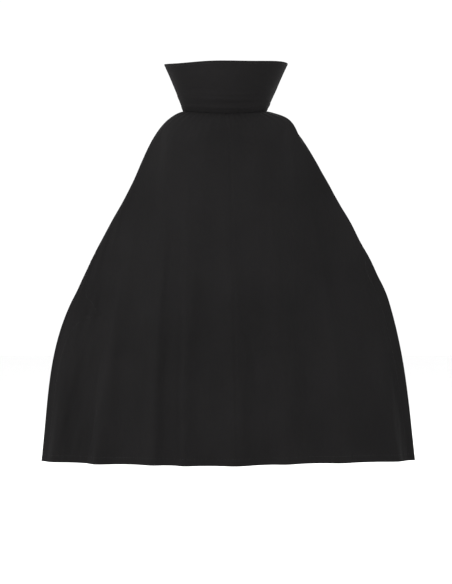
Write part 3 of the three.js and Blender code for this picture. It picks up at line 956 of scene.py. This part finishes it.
def interlining_material():
    """Stiff felted interlining."""
    tint = bpy.context.scene.cape_colours.interlining
    return fibre_material("stiff interlining", tint, 700.0, 0.3 * MM, 0.9)


def pile_material():
    """Nylon of the hooks, the loops and their woven bases."""
    return fibre_material("hook and loop", bpy.context.scene.cape_colours.pile, 1500.0, 0.15 * MM, 0.7)


def satin_material():
    """Satin: long smooth floats across the ribbon, soft creases and a slow unevenness in its tone."""

    def build(nodes, shader):
        flat = place_on_cloth(nodes)
        dye = nodes.add("ShaderNodeGroup", node_tree=dye_and_dust())
        nodes.put(dye.inputs["Place"], nodes.add("ShaderNodeTexCoord").outputs["Object"])
        nodes.put(dye.inputs["Cloth"], tuple(bpy.context.scene.cape_colours.label))
        nodes.put(dye.inputs["Scale"], 25.0)
        nodes.put(dye.inputs["Lint"], 0.0)
        floats = nodes.noise(nodes.stretched(flat, (1.0, 0.06, 1.0)), 3800.0, 2.0)
        creases = nodes.add("ShaderNodeGroup", node_tree=soft_creases())
        nodes.put(creases.inputs["Place"], flat)
        nodes.put(creases.inputs["Scale"], 60.0)
        normal = bump(nodes, creases.outputs["Height"], 0.25 * MM)
        nodes.put(shader.inputs["Base Color"], dye.outputs["Colour"])
        nodes.put(shader.inputs["Roughness"], nodes.ramp(floats, 0.3, 0.7, 0.3, 0.48))
        nodes.put(shader.inputs["Normal"], bump(nodes, floats, 0.03 * MM, 1.0, normal))
        shader.inputs["Sheen Weight"].default_value = 0.1

    return material("label satin", build)


def floor_material():
    """Matt white paint with a faint slow unevenness."""

    def build(nodes, shader):
        place = nodes.add("ShaderNodeTexCoord").outputs["Object"]
        grain = nodes.noise(place, 9.0, 5.0)
        tint = tuple(bpy.context.scene.cape_stage.floor)
        darker = tuple(0.97 * t for t in tint[:3]) + (1.0,)
        nodes.put(shader.inputs["Base Color"], nodes.mix(grain, darker, tint))
        nodes.put(shader.inputs["Roughness"], nodes.ramp(grain, 0.3, 0.7, 0.85, 0.95))
        nodes.put(shader.inputs["Normal"], bump(nodes, grain, 0.2 * MM))

    return material("floor paint", build)


def dress(piece, outside, inside=None):
    """Gives a piece its finish, with another one on the inner face of a sheet."""
    piece.data.materials.append(outside)
    if inside:
        piece.data.materials.append(inside)
        starts = np.empty(len(piece.data.polygons), np.int32)
        piece.data.polygons.foreach_get("loop_start", starts)
        corners = np.empty(len(piece.data.loops), np.int32)
        piece.data.loops.foreach_get("vertex_index", corners)
        is_inner = corners[starts] >= len(piece.data.vertices) // 2
        piece.data.polygons.foreach_set("material_index", is_inner.astype(np.int32))
    return piece


def fixed(piece, node, body):
    """Lets a piece stand for one CAD node and move with one body."""
    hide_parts(node)
    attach(piece, body)


def bend_with_wing(piece):
    """Cloth that crosses the shoulder: its placement is baked into its points; nothing binds it to the back
    or to the wing."""
    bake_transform(piece)


def bend_with_corner(piece):
    """Collar cloth: its placement is baked into its points; nothing folds its front corner."""
    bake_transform(piece)


# ----------------------------------------------------------------------------------------------------------
# Pieces


def ends(sign, near, far):
    """The span of s from near to far on one side, always going towards the wearer's left."""
    return sorted((sign * near, sign * far))


class CAPE_OT_hems(bpy.types.Operator):
    """The hem, turned up inside and folded under once more along its raw edge"""

    bl_idname = "cape.hems"
    bl_label = "Hems"

    def execute(self, context):
        sizes = context.scene.cape_sizes
        for side, sign in SIDES:
            s = np.linspace(*ends(sign, 0.003, 0.9985), 151)
            ring = stadium(sizes.hem, HEM_FOLD, 5)
            up, out = ring[:, 0], ring[:, 1] - sizes.cloth - HEM_FOLD / 2 - FOLD_ROOM
            s_at, up = np.meshgrid(s, up + FOLD_INSET, indexing="ij")
            out = np.broadcast_to(out, s_at.shape)
            rings = cape_surface(s_at, 1 - up / hem_reach(s_at), out)
            piece = dress(tube(f"hem_{side}", rings), cape_inside())
            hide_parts(f"back_hem_{side}", f"wing_hem_{side}")
            bend_with_wing(piece)
        return {"FINISHED"}


class CAPE_OT_facings(bpy.types.Operator):
    """The front edges, turned in and folded under"""

    bl_idname = "cape.facings"
    bl_label = "Facings"

    def execute(self, context):
        sizes = context.scene.cape_sizes
        for side, sign in SIDES:
            v = np.linspace(0.012, 1 - (sizes.hem + 1.2 * MM) / float(hem_reach(np.array(float(sign)))), 170)
            ring = stadium(sizes.facing, FACING_FOLD, 5)
            v_at, inwards = np.meshgrid(v, ring[:, 0] + FOLD_INSET, indexing="ij")
            out = np.broadcast_to(ring[:, 1] - sizes.cloth - FACING_FOLD / 2 - FOLD_ROOM, v_at.shape)
            share = inwards / edge_reach(v_at, sign)
            rings = cape_surface(sign * (1 - share), v_at, out)
            if sign > 0:
                rings = rings[:, ::-1]
            piece = dress(tube(f"facing_{side}", rings), cape_inside())
            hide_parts(f"throat_facing_{side}", f"wing_facing_{side}")
            bend_with_wing(piece)
        return {"FINISHED"}


class CAPE_OT_seam(bpy.types.Operator):
    """The allowances of the centre back seam, pressed open inside and overlocked along their edges"""

    bl_idname = "cape.seam"
    bl_label = "Centre back seam"

    def execute(self, context):
        sizes = context.scene.cape_sizes
        for side, sign in SIDES:
            stop = 1 - (sizes.hem + 1.5 * MM) / float(hem_reach(np.array(0.0)))
            v = np.linspace(0.03, stop, 220)
            ring = stadium(sizes.allowance - 0.5 * MM, ALLOWANCE_FOLD, 4)
            v_at, away = np.meshgrid(v, ring[:, 0] + 0.5 * MM, indexing="ij")
            out = np.broadcast_to(ring[:, 1] - sizes.cloth - 0.5 * MM, v_at.shape)
            rings = cape_surface(sign * away / middle_reach(v_at, sign), v_at, out)
            if sign < 0:
                rings = rings[:, ::-1]
            piece = dress(tube(f"seam_allowance_{side}", rings), cape_inside())
            fixed(piece, "centre_back_seam", "cape_body")
            v = np.linspace(0.035, stop - 0.005, 600)
            away = sign * (sizes.allowance - 1.4 * MM) / middle_reach(v, sign)
            row = row_on(cape_surface, away, v, -sizes.cloth - 0.85 * MM, -1)
            thread = dress(stitches(f"overlock_{side}", [row], slant=1.0, longer=1.1), thread_material())
            fixed(thread, "centre_back_seam", "cape_body")
        return {"FINISHED"}


class CAPE_OT_cape_stitches(bpy.types.Operator):
    """The rows of machine stitches that hold the hem and the front edges, seen on both faces"""

    bl_idname = "cape.cape_stitches"
    bl_label = "Cape stitches"

    def execute(self, context):
        sizes = context.scene.cape_sizes
        behind = -sizes.cloth - 1.3 * MM
        for side, sign in SIDES:
            s = sign * np.linspace(0.004, 0.985, 900)
            v = 1 - (sizes.hem - HEM_STITCH_INSET) / hem_reach(s)
            inside = row_on(cape_surface, s, v, behind - 0.05 * MM, -1)
            rows = [row_on(cape_surface, s, v, STITCH_RISE), inside]
            thread = dress(stitches(f"hem_stitches_{side}", rows), thread_material())
            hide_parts(f"back_hem_{side}", f"wing_hem_{side}")
            bend_with_wing(thread)
            v = np.linspace(0.02, 1 - (sizes.hem + 2 * MM) / float(hem_reach(np.array(float(sign)))), 1200)
            s = sign * (1 - (sizes.facing - FACING_STITCH_INSET) / edge_reach(v, sign))
            rows = [row_on(cape_surface, s, v, STITCH_RISE), row_on(cape_surface, s, v, behind, -1)]
            thread = dress(stitches(f"facing_stitches_{side}", rows), thread_material())
            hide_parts(f"throat_facing_{side}", f"wing_facing_{side}")
            bend_with_wing(thread)
        return {"FINISHED"}


def collar_grid(sign, inset=0.0):
    """s and v over one half of the collar, rows from the top edge down, closer together near the free
    edges. inset is the share of the height, and of half the length, that stays bare round the free edges
    and the foot."""
    near_edge = np.array((0, 0.0015, 0.004, 0.008, 0.014, 0.022, 0.032))
    s = np.concatenate([np.linspace(0, 0.955, 80), (1 - near_edge)[::-1]]) * (1 - inset)
    v = np.concatenate([1 - near_edge, np.linspace(0.955, 0.05, 46), (0.036, 0.022, 0.012, COLLAR_FOOT)])
    v = inset + v * (1 - 2 * inset)
    return np.meshgrid(np.sort(sign * s), v)


def collar_spread(s, v):
    """From the middle of the collar to the inner face of each ply: apart over the stiffener, and
    together along the free edges and the foot."""
    edge = np.minimum((1 - v) * 0.14, (1 - np.abs(s)) * 0.23)
    foot = (v - COLLAR_FOOT) * 0.14
    topstitch = 0.25 * MM * np.exp(-(((edge - bpy.context.scene.cape_sizes.topstitch) / (1.2 * MM)) ** 2))
    away = smoothstep(edge, 0, 3.5 * MM) * smoothstep(foot, -0.5 * MM, 10.5 * MM)
    return 0.07 * MM + 0.68 * MM * away - topstitch, edge


class CAPE_OT_collar(bpy.types.Operator):
    """The outer and inner plies of the stand collar, with the stiffener between them"""

    bl_idname = "cape.collar"
    bl_label = "Collar"

    def execute(self, context):
        for side, sign in SIDES:
            s, v = collar_grid(sign, 0.045)
            middle = 0 if sign > 0 else -1
            faces = (collar_surface(s, v, out) for out in (0.3 * MM, -0.3 * MM))
            filling = sheet(f"collar_stiffener_{side}", *faces, middle)
            dress(filling, interlining_material())
            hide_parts("collar_stiffener_back", f"collar_stiffener_{side}_corner")
            bend_with_corner(filling)

            s, v = collar_grid(sign)
            spread, edge = collar_spread(s, v)
            rolled = 0.12 * MM + 0.4 * MM * np.sqrt(1 - (1 - np.clip(edge / (0.6 * MM), 0, 1)) ** 2)
            faces = (collar_surface(s, v, out) for out in (spread + rolled, spread))
            outer = sheet(f"collar_outer_{side}", *faces, middle)
            faces = (collar_surface(s, v, out) for out in (-spread, -spread - rolled))
            inner = sheet(f"collar_inner_{side}", *faces, middle)
            for piece, ply in ((outer, "outer"), (inner, "inner")):
                dress(piece, collar_cloth())
                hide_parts(f"collar_{ply}_back", f"collar_{ply}_{side}_corner")
                bend_with_corner(piece)
        return {"FINISHED"}


class CAPE_OT_collar_stitches(bpy.types.Operator):
    """Topstitching round the collar's free edges, on both faces"""

    bl_idname = "cape.collar_stitches"
    bl_label = "Collar stitches"

    def execute(self, context):
        inset = context.scene.cape_sizes.topstitch
        step = 1e-3
        for side, sign in SIDES:
            v = np.linspace(0.03, 1 - inset / 0.16, 500)
            end = np.full_like(v, float(sign))
            reach = np.linalg.norm(collar_shape(end, v) - collar_shape(end * (1 - step), v), axis=1) / step
            front_s = sign * (1 - inset / reach)
            top_s = sign * np.linspace(1 - inset / reach[-1], 0.003, 700)
            height = np.linalg.norm(collar_top(top_s) - neck_seam(top_s), axis=1)
            s = np.concatenate([front_s, top_s])
            v = np.concatenate([v, 1 - inset / height])
            spread, _ = collar_spread(s, v)
            for ply, face in (("outer", 1), ("inner", -1)):
                row = row_on(collar_surface, s, v, face * (spread + 0.56 * MM), face)
                thread = dress(stitches(f"collar_{ply}_stitches_{side}", [row]), thread_material())
                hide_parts(f"collar_{ply}_back", f"collar_{ply}_{side}_corner")
                bend_with_corner(thread)
        return {"FINISHED"}


class CAPE_OT_panels(bpy.types.Operator):
    """Both panels of the cape, from the neck seam to the hem and from the centre back seam to the front
    edge"""

    bl_idname = "cape.panels"
    bl_label = "Panels"

    def execute(self, context):
        sizes = context.scene.cape_sizes
        near_edge = np.array((0.0012, 0.0035))
        for side, sign in SIDES:
            between = np.linspace(0.007, 0.993, 148)
            s = sign * np.concatenate([[0], near_edge, between, 1 - near_edge[::-1], [1]])
            v = np.concatenate([np.linspace(0, 0.12, 30), np.linspace(0.12, 1, 150)[1:]])
            s, v = np.meshgrid(np.sort(s), v)
            outer, inner = cape_surface(s, v), cape_surface(s, v, -sizes.cloth)
            piece = sheet(f"cape_{side}", outer, inner, 0 if sign > 0 else -1)
            dress(piece, cape_cloth(), cape_inside())
            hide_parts(f"back_panel_{side}", f"wing_panel_{side}")
            bend_with_wing(piece)
        return {"FINISHED"}


class CAPE_OT_neck_tape(bpy.types.Operator):
    """The grosgrain tape that covers the neck seam inside, with a row of stitches along both its edges"""

    bl_idname = "cape.neck_tape"
    bl_label = "Neck tape"

    def execute(self, context):
        sizes = context.scene.cape_sizes
        s = np.linspace(-0.963, 0.963, 300)
        seam = neck_seam(s)
        along = unit(np.gradient(seam, axis=0))
        inwards = unit(np.stack([along[:, 1], -along[:, 0], 0 * s], axis=1))
        path = seam + inwards * (2.3 + 0.25 * np.sin(40 * s))[:, None] * MM
        piece = ribbon("neck_ribbon", path[::-1], np.array((0, 0, 1.0)), sizes.tape, 0.7 * MM, 8)
        dress(piece, tape_material())
        fixed(piece, "neck_tape", "cape_body")
        up = unit(np.cross(np.cross(along, (0, 0, 1.0)), along))
        rows = [(path + inwards * 0.38 * MM + up * (sizes.tape / 2 - 1.2 * MM) * k, inwards) for k in (1, -1)]
        thread = dress(stitches("neck_ribbon_stitches", rows), thread_material())
        fixed(thread, "neck_tape", "cape_body")
        return {"FINISHED"}


def strap_sheet(name, sign, x, y, low, high):
    """A throat strap whose width runs from height low to high. It is flat along (x, y), which goes from
    its free end to its root, and from there it bends in behind the front edge and lies under the facing.
    It is cut aslant, as that edge is."""
    z = np.linspace(low, high, 13)
    down = np.linspace(0, 0.08, 80)
    edge_z = cape_surface(np.full_like(down, float(sign)), down)[:, 2]
    v = np.interp(-z, -edge_z, down)
    edge = cape_surface(np.full_like(v, float(sign)), v, -STRAP_BEHIND)
    under = cape_surface(sign * (1 - STRAP_ROOT / edge_reach(v, sign)), v, -STRAP_BEHIND)
    flat = np.stack([*np.broadcast_arrays(x[None], y[None], z[:, None])], axis=2)
    t = np.linspace(0, 1, 26)[1:, None]
    reach = np.linalg.norm(edge - flat[:, -1], axis=1)[:, None, None]
    away = np.array((float(sign), 0, 0)) * reach
    turn = hermite(flat[:, -1:], away, edge[:, None], unit(under - edge)[:, None] * reach, t)
    rest = edge[:, None] + (under - edge)[:, None] * t[3::4]
    points = np.concatenate([flat, turn, rest], axis=1)
    if sign < 0:
        points = points[:, ::-1]
    normal = unit(np.cross(np.gradient(points, axis=1), np.gradient(points, axis=0)))
    width = np.minimum(z - low, high - z)[:, None, None]
    half = STRAP_THICKNESS / 2 * (0.55 + 0.45 * smoothstep(width, 0, 1.2 * MM))
    return sheet(name, points + normal * half, points - normal * half)


def patch_outline(low, high, y, face):
    """A row for stitches() round a patch, inset from its edges, on the plane y and facing along face * Y."""
    inset = PATCH_STITCH_INSET
    x = np.array((low[0] + inset, high[0] - inset, high[0] - inset, low[0] + inset, low[0] + inset))
    z = np.array((low[2] + inset, low[2] + inset, high[2] - inset, high[2] - inset, low[2] + inset))
    return np.stack([x, np.full(5, y), z], axis=1), np.tile((0.0, face, 0.0), (5, 1))


def level_path(low, high, y):
    """Points along the middle of a patch, from low to high in X, at depth y."""
    x = np.linspace(low[0], high[0], 30)
    return np.stack([x, np.full_like(x, y), np.full_like(x, (low[2] + high[2]) / 2)], axis=1)


def pile(name, base, low, high, face, path):
    """Rows of small bent wires that stand out along face * Y from the plane y = base, where the woven base
    lies.
    """
    dice = np.random.default_rng(5)
    gap = WIRE_GAP
    x = np.arange(low[0] + gap, high[0] - gap / 2, gap)
    z = np.arange(low[2] + gap, high[2] - gap / 2, gap)
    x, z = (a.ravel() for a in np.meshgrid(x, z))
    astray = dice.uniform(-0.2, 0.2, (len(x), 3)) * MM * (1, 0, 1)
    places = np.stack([x, np.full_like(x, base), z], axis=1) + astray
    turn = dice.uniform(-0.5, 0.5, len(x))
    tall = dice.uniform(0.85, 1.0, len(x))
    along = np.stack([np.cos(turn), 0 * turn, np.sin(turn)], axis=1)
    up = np.tile((0.0, face, 0.0), (len(x), 1))
    beside = np.cross(up, along)
    shape, faces = wire_shape(path, WIRE_RADIUS)
    return strewn(name, shape, [faces], places, np.stack([along, beside, up * tall[:, None]], axis=1))


class CAPE_OT_straps(bpy.types.Operator):
    """Both throat straps: the right one under the loop patch, and the left one whose free end carries
    the hooks"""

    bl_idname = "cape.straps"
    bl_label = "Throat straps"

    def execute(self, context):
        sizes = context.scene.cape_sizes
        up = np.array((0, 0, 1.0))
        low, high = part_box("closure_strap_right")
        x = np.linspace(high[0], -26 * MM, 60)
        y = (low[1] + high[1]) / 2 + 0.12 * MM * np.sin(x / (7 * MM))
        strap = strap_sheet("strap_right", -1, x, y, low[2], low[2] + sizes.strap)
        dress(strap, tape_material())
        fixed(strap, "closure_strap_right", "cape_body")

        low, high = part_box("loop_patch")
        row = patch_outline(low, high, low[1] + PATCH_THICKNESS, -1.0)
        path = level_path(low, high, high[1] - 0.3 * MM)
        patch = ribbon("loop_base", path, up, high[2] - low[2], PATCH_THICKNESS, 10)
        turn = np.linspace(0, np.pi, 7)
        arch = np.stack([-0.42 * np.cos(turn), 0 * turn, 0.62 * np.sin(turn)], axis=1) * MM
        loops = pile("loop_pile", high[1] - 0.5 * MM, low, high, -1.0, arch)
        for piece in (patch, loops):
            dress(piece, pile_material())
        thread = dress(stitches("loop_patch_stitches", [row]), thread_material())
        for piece in (patch, loops, thread):
            fixed(piece, "loop_patch", "cape_body")

        low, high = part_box("closure_tab")
        front = (low[1] + high[1]) / 2
        x = np.linspace(low[0], 24 * MM, 60)
        y = front + 0.1 * MM * np.sin(x / (6 * MM))
        strap = strap_sheet("strap_left", 1, x, y, low[2], low[2] + sizes.strap)
        dress(strap, tape_material())
        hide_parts("closure_strap_left", "closure_tab")
        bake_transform(strap)

        low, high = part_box("hook_patch")
        path = level_path(low, high, low[1] + 0.3 * MM)
        patch = ribbon("hook_base", path, up, high[2] - low[2], PATCH_THICKNESS, 10)
        turn = np.linspace(0, 1.2 * np.pi, 6)
        hook = np.concatenate(
            [
                np.array(((0, 0, 0), (0, 0, 0.2), (0, 0, 0.38))),
                np.stack([0.2 - 0.2 * np.cos(turn), 0 * turn, 0.4 + 0.2 * np.sin(turn)], axis=1)[1:],
            ]
        ) * MM
        hooks = pile("hook_pile", low[1] + PATCH_THICKNESS, low, high, 1.0, hook)
        row = patch_outline(low, high, front - STRAP_THICKNESS / 2, -1.0)
        thread = dress(stitches("hook_patch_stitches", [row]), thread_material())
        for piece in (patch, hooks):
            dress(piece, pile_material())
        for piece in (patch, hooks, thread):
            fixed(piece, "hook_patch", "throat_tab")
        return {"FINISHED"}


class CAPE_OT_label(bpy.types.Operator):
    """The blank satin label: a ribbon folded in two whose ends are sewn to the neck tape"""

    bl_idname = "cape.label"
    bl_label = "Care label"

    def execute(self, context):
        low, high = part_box("care_label")
        plane = (low[1] + high[1]) / 2
        half, radius, thick = (high[2] - low[2]), 0.32 * MM, 0.08 * MM
        x = np.linspace(low[0], high[0], 26)
        run = np.linspace(0, half - radius, 46)
        turn = np.linspace(0, np.pi, 9)[1:-1]
        z = high[2] - np.concatenate([run, half - radius + radius * np.sin(turn), run[::-1]])
        gap = radius * np.concatenate([np.ones(46), np.cos(turn), -np.ones(46)])
        x, z_at = np.meshgrid(x, z)
        gap = np.broadcast_to(gap[:, None], x.shape)
        angle = np.arcsin(x / (NECK_HALF_WIDTH - 3.0 * MM))
        on_tape = (NECK_BACK - 3.0 * MM) * np.cos(angle) - 0.5 * MM
        depth = high[2] - z_at
        curl = 1.6 * MM * np.sin(np.pi * (x - low[0]) / (high[0] - low[0])) * smoothstep(depth, 0.02, 0.048)
        y = on_tape + (plane - on_tape) * smoothstep(depth, 3 * MM, 26 * MM) + gap - curl
        points = np.stack([x, y, z_at], axis=2)
        along = np.gradient(points, axis=0)
        across = np.gradient(points, axis=1)
        normal = unit(np.cross(across, along))
        piece = sheet("satin_label", points + normal * thick, points - normal * thick)
        dress(piece, satin_material())
        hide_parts("care_label")
        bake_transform(piece)
        top = points[-1] + (points[-3] - points[-1]) * 0.8 + (0, -0.12 * MM, 0)
        row = (top, np.tile((0.0, -1.0, 0.0), (len(top), 1)))
        thread = dress(stitches("label_stitches", [row]), thread_material())
        fixed(thread, "care_label", "cape_body")
        return {"FINISHED"}


class CAPE_OT_stage(bpy.types.Operator):
    """The pale floor, the soft lights and the camera"""

    bl_idname = "cape.stage"
    bl_label = "Floor, lights and camera"

    def execute(self, context):
        settings = context.scene.cape_stage
        scene = context.scene
        reach, count = 14.0, 9
        x, y = np.meshgrid(np.linspace(-reach, reach, count), np.linspace(reach, -reach, count))
        top = np.stack([x, y, np.full_like(x, -FLOOR_DROP)], axis=2)
        floor = sheet("floor", top, top - (0, 0, 0.02))
        dress(floor, floor_material())

        aims = (
            ("key", (3.2, 2.6, 2.2), 1.6, 150.0),
            ("fill", (-3.2, 2.8, 0.6), 2.4, 46.0),
            ("front", (-1.6, -3.6, 2.0), 2.2, 110.0),
            ("above", (0.2, 0.6, 3.0), 2.2, 60.0),
        )
        for name, place, wide, power in aims:
            lamp = bpy.data.lights.new(name, "AREA")
            lamp.shape, lamp.size, lamp.size_y, lamp.energy = "RECTANGLE", wide, wide, power
            holder = bpy.data.objects.new(name, lamp)
            holder.location = place
            holder.rotation_mode = "QUATERNION"
            holder.rotation_quaternion = (Vector((0, 0, -0.4)) - Vector(place)).to_track_quat("-Z", "Y")
            scene.collection.objects.link(holder)

        world = bpy.data.worlds.new("room")
        world.use_nodes = True
        background = world.node_tree.nodes["Background"]
        background.inputs["Color"].default_value = (1, 1, 1, 1)
        background.inputs["Strength"].default_value = settings.world
        scene.world = world
        scene.view_settings.view_transform = "Standard"

        camera = bpy.data.cameras.new("camera")
        camera.lens, camera.sensor_width = settings.lens, 36
        camera.clip_end = 100
        view = bpy.data.objects.new("camera", camera)
        view.location = (0, settings.distance, VIEW_HEIGHT)
        view.rotation_euler = np.radians((90, 0, 180))
        scene.collection.objects.link(view)
        scene.camera = view
        return {"FINISHED"}


OPERATORS = (
    CAPE_OT_hems,
    CAPE_OT_facings,
    CAPE_OT_seam,
    CAPE_OT_cape_stitches,
    CAPE_OT_panels,
    CAPE_OT_collar_stitches,
    CAPE_OT_collar,
    CAPE_OT_neck_tape,
    CAPE_OT_straps,
    CAPE_OT_label,
    CAPE_OT_stage,
)


class CAPE_PT_panel(bpy.types.Panel):
    """The cape's sizes and colours, and a button for each piece"""

    bl_idname = "CAPE_PT_panel"
    bl_label = "Stand-collar cape"
    bl_space_type = "VIEW_3D"
    bl_region_type = "UI"
    bl_category = "Cape"

    def draw(self, context):
        for settings in (context.scene.cape_sizes, context.scene.cape_colours, context.scene.cape_stage):
            box = self.layout.box()
            for name in settings.__annotations__:
                box.prop(settings, name)
        for operator in OPERATORS:
            self.layout.operator(operator.bl_idname)


CLASSES = (CapeSizes, CapeColours, CapeStage, *OPERATORS, CAPE_PT_panel)


def register():
    for cls in CLASSES:
        bpy.utils.register_class(cls)
    bpy.types.Scene.cape_sizes = PointerProperty(type=CapeSizes)
    bpy.types.Scene.cape_colours = PointerProperty(type=CapeColours)
    bpy.types.Scene.cape_stage = PointerProperty(type=CapeStage)


def unregister():
    for name in ("cape_sizes", "cape_colours", "cape_stage"):
        delattr(bpy.types.Scene, name)
    for cls in reversed(CLASSES):
        bpy.utils.unregister_class(cls)


def main():
    """Builds every piece and the stage."""
    register()
    for operator in OPERATORS:
        family, name = operator.bl_idname.split(".")
        getattr(getattr(bpy.ops, family), name)()


if __name__ == "__main__":
    main()
